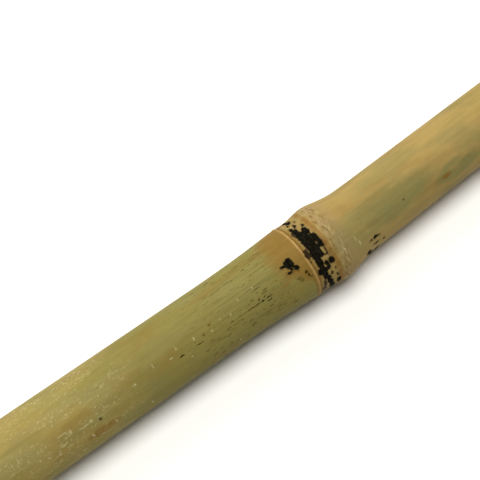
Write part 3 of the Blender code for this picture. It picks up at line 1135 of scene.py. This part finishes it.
def skin_material(colours):
    """Dried bamboo skin: hard and glassy under a film of wax, so it is satin, and streaked by fibres."""
    material, tree, shader = new_material("dried_bamboo_skin")
    fibre = add(tree, "ShaderNodeAttribute", attribute_name="fibre").outputs["Vector"]
    flat = wavering(tree, add(tree, "ShaderNodeAttribute", attribute_name="laid_flat").outputs["Vector"])
    beyond, tan_here, share = (
        add(tree, "ShaderNodeAttribute", attribute_name=name).outputs["Fac"]
        for name in ("beyond_scar", "tan_below", "internode_share")
    )
    mould, smear, stub = (
        add(tree, "ShaderNodeAttribute", attribute_name=name).outputs["Fac"]
        for name in ("mould_depth", "smear_depth", "stub_depth")
    )
    edges = picked(tree, fibre, "drifting edges")
    fine, broad = grain(tree, fibre, "fine streaks"), grain(tree, fibre, "broad streaks")
    mottle, creases = grain(tree, fibre, "mottle"), grain(tree, fibre, "ridge creases")
    on_ridge = between(tree, beyond, CREASED)

    colour = ground_colour(tree, fibre, flat, share, edges, colours)
    colour = laid_over(tree, colour, opaque(colours.tan), both(tree, tan_here, TAN_STRENGTH))
    colour = node_colour(tree, colour, fibre, beyond, colours)
    colour = streaked(tree, colour, fine, broad, mottle)

    dark = dark_marks(tree, fibre, flat, beyond)
    colour = laid_over(tree, colour, opaque(colours.dash), dark)
    smudges = both(tree, single_marks(tree, flat, BROWN_MARKS), edges)
    colour = laid_over(tree, colour, opaque(colours.tan), smudges)
    colour = laid_over(tree, colour, opaque(colours.rust), rust_marks(tree, fibre, flat, beyond))
    colour = laid_over(tree, colour, opaque(colours.bloom_and_highlight), pale_marks(tree, fibre, flat, beyond))

    # The ridge is creased round the culm. Its crests are pale, partly from wear and partly a painted
    # highlight, and the creases between them are dark, partly grime and partly painted shade.
    worn_and_lit = both(tree, step_up(tree, creases, *WORN_AND_LIT_CRESTS), on_ridge)
    colour = laid_over(tree, colour, opaque(colours.bloom_and_highlight), worn_and_lit)
    grimy_and_shaded = both(tree, step_up(tree, creases, *GRIMY_AND_SHADED_CREASES), on_ridge)
    colour = laid_over(tree, colour, opaque(colours.crevice), grimy_and_shaded)

    colour = trimmed_branch(tree, colour, fibre, stub, colours)
    colour, crust = moulded(tree, colour, fibre, mould, smear, colours)
    tree.links.new(colour, shader.inputs["Base Color"])

    # The wax has weathered, so the skin mirrors little, and its pale streaks are a little rougher.
    least, most = SATIN
    satin = add(tree, "ShaderNodeMapRange", {"Value": fine, "To Min": least, "To Max": most})
    rough = both(tree, satin.outputs["Result"], both(tree, crust, CRUST_ROUGHNESS), "ADD")
    tree.links.new(rough, shader.inputs["Roughness"])
    shader.inputs["Specular IOR Level"].default_value = SKIN_MIRRORS

    # The finest relief: fibres and mottle, sunk dashes, the creases of the ridge and lumps in the crust.
    relief = both(tree, fine, both(tree, mottle, 0.5), "ADD")
    relief = both(tree, relief, both(tree, dark, -0.6), "ADD")
    relief = both(tree, relief, both(tree, creases, both(tree, on_ridge, 2.2)), "ADD")
    lumps = both(tree, crust, both(tree, grain(tree, fibre, "mould lumps"), 1.6))
    relief = both(tree, relief, lumps, "ADD")
    bump = add(tree, "ShaderNodeBump", {"Strength": 0.6, "Distance": 0.03 * MM, "Height": relief})
    tree.links.new(bump.outputs[0], shader.inputs["Normal"])
    return material


def cut_material(colours):
    """Sawn bamboo: dry and matt, pale between the dark ends of its fibres, which crowd towards the skin."""
    material, tree, shader = new_material("sawn_bamboo")
    fibre = add(tree, "ShaderNodeAttribute", attribute_name="fibre").outputs["Vector"]
    across = add(tree, "ShaderNodeVectorMath", {0: fibre, 1: (0, 1, 1)}, operation="MULTIPLY").outputs[0]
    out = add(tree, "ShaderNodeVectorMath", {0: across}, operation="LENGTH").outputs["Value"]
    near_skin = step_up(tree, out, BUNDLES_GROW_FROM, BAR_RADIUS - CUT_BEVEL)
    cells = add(tree, "ShaderNodeTexVoronoi", {"Vector": across, "Scale": 1 / BUNDLE_SPACING})
    smallest, largest = BUNDLE_SIZES
    size = add(tree, "ShaderNodeMapRange", {"Value": near_skin, "To Min": smallest, "To Max": largest})
    bundles = both(tree, size.outputs["Result"], cells.outputs["Distance"], "SUBTRACT")
    bundles = step_up(tree, bundles, 0.0, 0.14)
    colour = laid_over(tree, opaque(colours.cut), opaque(colours.bundle), both(tree, bundles, 0.75))
    rim = step_up(tree, out, BAR_RADIUS - CUT_BEVEL - RIM_WIDTH, BAR_RADIUS - CUT_BEVEL, 0.8)
    colour = laid_over(tree, colour, opaque(colours.tan), rim)
    scale = (0.0, 1 / SAW_MARK_WIDTH, 1 / SAW_MARK_LENGTH)
    saw = add(tree, "ShaderNodeMapping", {"Vector": fibre, "Scale": scale, "Rotation": (SAW_SLANT, 0, 0)})
    marks = add(tree, "ShaderNodeTexNoise", {"Vector": saw.outputs[0], "Scale": 1.0, "Detail": 3.0})
    marks = marks.outputs["Fac"]
    colour = laid_over(tree, colour, opaque(colours.stain_and_shade), step_up(tree, marks, 0.52, 0.75, 0.25))
    tree.links.new(colour, shader.inputs["Base Color"])
    shader.inputs["Roughness"].default_value = 0.8
    bump = add(tree, "ShaderNodeBump", {"Strength": 0.7, "Distance": 0.06 * MM, "Height": marks})
    tree.links.new(bump.outputs[0], shader.inputs["Normal"])
    return material


def lining_material(colours):
    """The bore's papery lining: thin, pale and matt, with soft creases along it."""
    material, tree, shader = new_material("papery_bore_lining")
    fibre = add(tree, "ShaderNodeAttribute", attribute_name="fibre").outputs["Vector"]
    creases = grain(tree, fibre, "lining creases")
    shaded = step_up(tree, creases, *PICKED["lining creases"])
    colour = laid_over(tree, opaque(colours.lining), opaque(colours.tan), shaded)
    tree.links.new(colour, shader.inputs["Base Color"])
    shader.inputs["Roughness"].default_value = 0.9
    bump = add(tree, "ShaderNodeBump", {"Strength": 0.8, "Distance": 0.1 * MM, "Height": creases})
    tree.links.new(bump.outputs[0], shader.inputs["Normal"])
    return material


def paper_material(colour):
    """Paper board: even, warm white and matt, so it shows nothing but soft shadows."""
    material, _, shader = new_material("warm_white_paper")
    shader.inputs["Base Color"].default_value = opaque(colour)
    shader.inputs["Roughness"].default_value = 0.9
    return material


class CANE_OT_build_culm(bpy.types.Operator):
    """Shapes the culm from a straight bar and gives it its skin, its mould and its sawn, hollow ends"""

    bl_idname = "cane.build_culm"
    bl_label = "Build culm"

    def execute(self, context):
        shape, colours = context.scene.cane_shape, context.scene.cane_colours
        culm = straight_bar(shape)
        bar = Bar(culm.data)
        mould = mould_on(bar)
        keep_places(culm, bar, mould)
        shape_bar(culm, shape, mould, bar)
        for material in (skin_material(colours), cut_material(colours), lining_material(colours)):
            culm.data.materials.append(material)
        sort_faces(culm, bar)
        bpy.ops.object.shade_smooth_by_angle(angle=SMOOTH_ANGLE)
        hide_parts("cane")
        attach(culm, "root")
        return {"FINISHED"}


def camera_back(azimuth, elevation):
    """The direction from what a camera looks at back to the camera."""
    turn, tilt = math.radians(azimuth), math.radians(elevation)
    return Vector((math.sin(turn) * math.cos(tilt), -math.cos(turn) * math.cos(tilt), math.sin(tilt)))


def soft_light(name, place, aim, width, power):
    """A wide round light at this place, turned to face its aim."""
    bpy.ops.object.light_add(type="AREA", location=place)
    lamp = bpy.context.active_object
    lamp.name = name
    lamp.data.shape = "DISK"
    lamp.data.size = width
    lamp.data.energy = power
    lamp.rotation_euler = (aim - lamp.location).to_track_quat("-Z", "Y").to_euler()


class CANE_OT_set_stage(bpy.types.Operator):
    """Adds the pale floor, the soft lights and the camera"""

    bl_idname = "cane.set_stage"
    bl_label = "Set stage"

    def execute(self, context):
        stage = context.scene.cane_stage
        bpy.ops.object.select_all(action="DESELECT")
        bpy.ops.mesh.primitive_plane_add(size=stage.floor_size)
        floor = context.active_object
        floor.name = "floor"
        floor.data.materials.append(paper_material(stage.floor_colour))

        aim = Vector(VIEW_AIM) * MM
        soft_light("top_light", TOP_LIGHT_PLACE, aim, stage.top_width, stage.top_power)
        soft_light("side_light", SIDE_LIGHT_PLACE, aim, stage.side_width, stage.side_power)

        world = bpy.data.worlds.new("soft_white_sky")
        context.scene.world = world
        world.use_nodes = True
        background = world.node_tree.nodes["Background"]
        background.inputs["Color"].default_value = (1.0, 1.0, 1.0, 1.0)
        background.inputs["Strength"].default_value = stage.sky
        context.scene.view_settings.view_transform = "Standard"

        back = camera_back(VIEW_AZIMUTH, VIEW_ELEVATION)
        bpy.ops.object.camera_add(location=aim + back * VIEW_DISTANCE * MM)
        camera = context.active_object
        camera.rotation_euler = (-back).to_track_quat("-Z", "Y").to_euler()
        camera.data.sensor_width = SENSOR_WIDTH
        camera.data.lens = PIXELS_PER_MM * VIEW_DISTANCE * SENSOR_WIDTH / PICTURE_PIXELS
        camera.data.clip_start = NEAREST_SHOWN * MM
        context.scene.camera = camera
        return {"FINISHED"}


class CANE_PT_panel(bpy.types.Panel):
    """Lists the cane's operators and settings in the sidebar"""

    bl_idname = "CANE_PT_panel"
    bl_label = "Bamboo cane"
    bl_space_type = "VIEW_3D"
    bl_region_type = "UI"
    bl_category = "Cane"

    def draw(self, context):
        layout = self.layout
        layout.operator(CANE_OT_build_culm.bl_idname)
        layout.operator(CANE_OT_set_stage.bl_idname)
        for group in (context.scene.cane_shape, context.scene.cane_colours, context.scene.cane_stage):
            box = layout.box()
            for name in group.__annotations__:
                box.prop(group, name)


CLASSES = (CaneShape, CaneColours, CaneStage, CANE_OT_build_culm, CANE_OT_set_stage, CANE_PT_panel)


def register():
    for part in CLASSES:
        bpy.utils.register_class(part)
    bpy.types.Scene.cane_shape = PointerProperty(type=CaneShape)
    bpy.types.Scene.cane_colours = PointerProperty(type=CaneColours)
    bpy.types.Scene.cane_stage = PointerProperty(type=CaneStage)


def unregister():
    del bpy.types.Scene.cane_stage
    del bpy.types.Scene.cane_colours
    del bpy.types.Scene.cane_shape
    for part in reversed(CLASSES):
        bpy.utils.unregister_class(part)


def main():
    register()
    bpy.ops.cane.build_culm()
    bpy.ops.cane.set_stage()


if __name__ == "__main__":
    main()
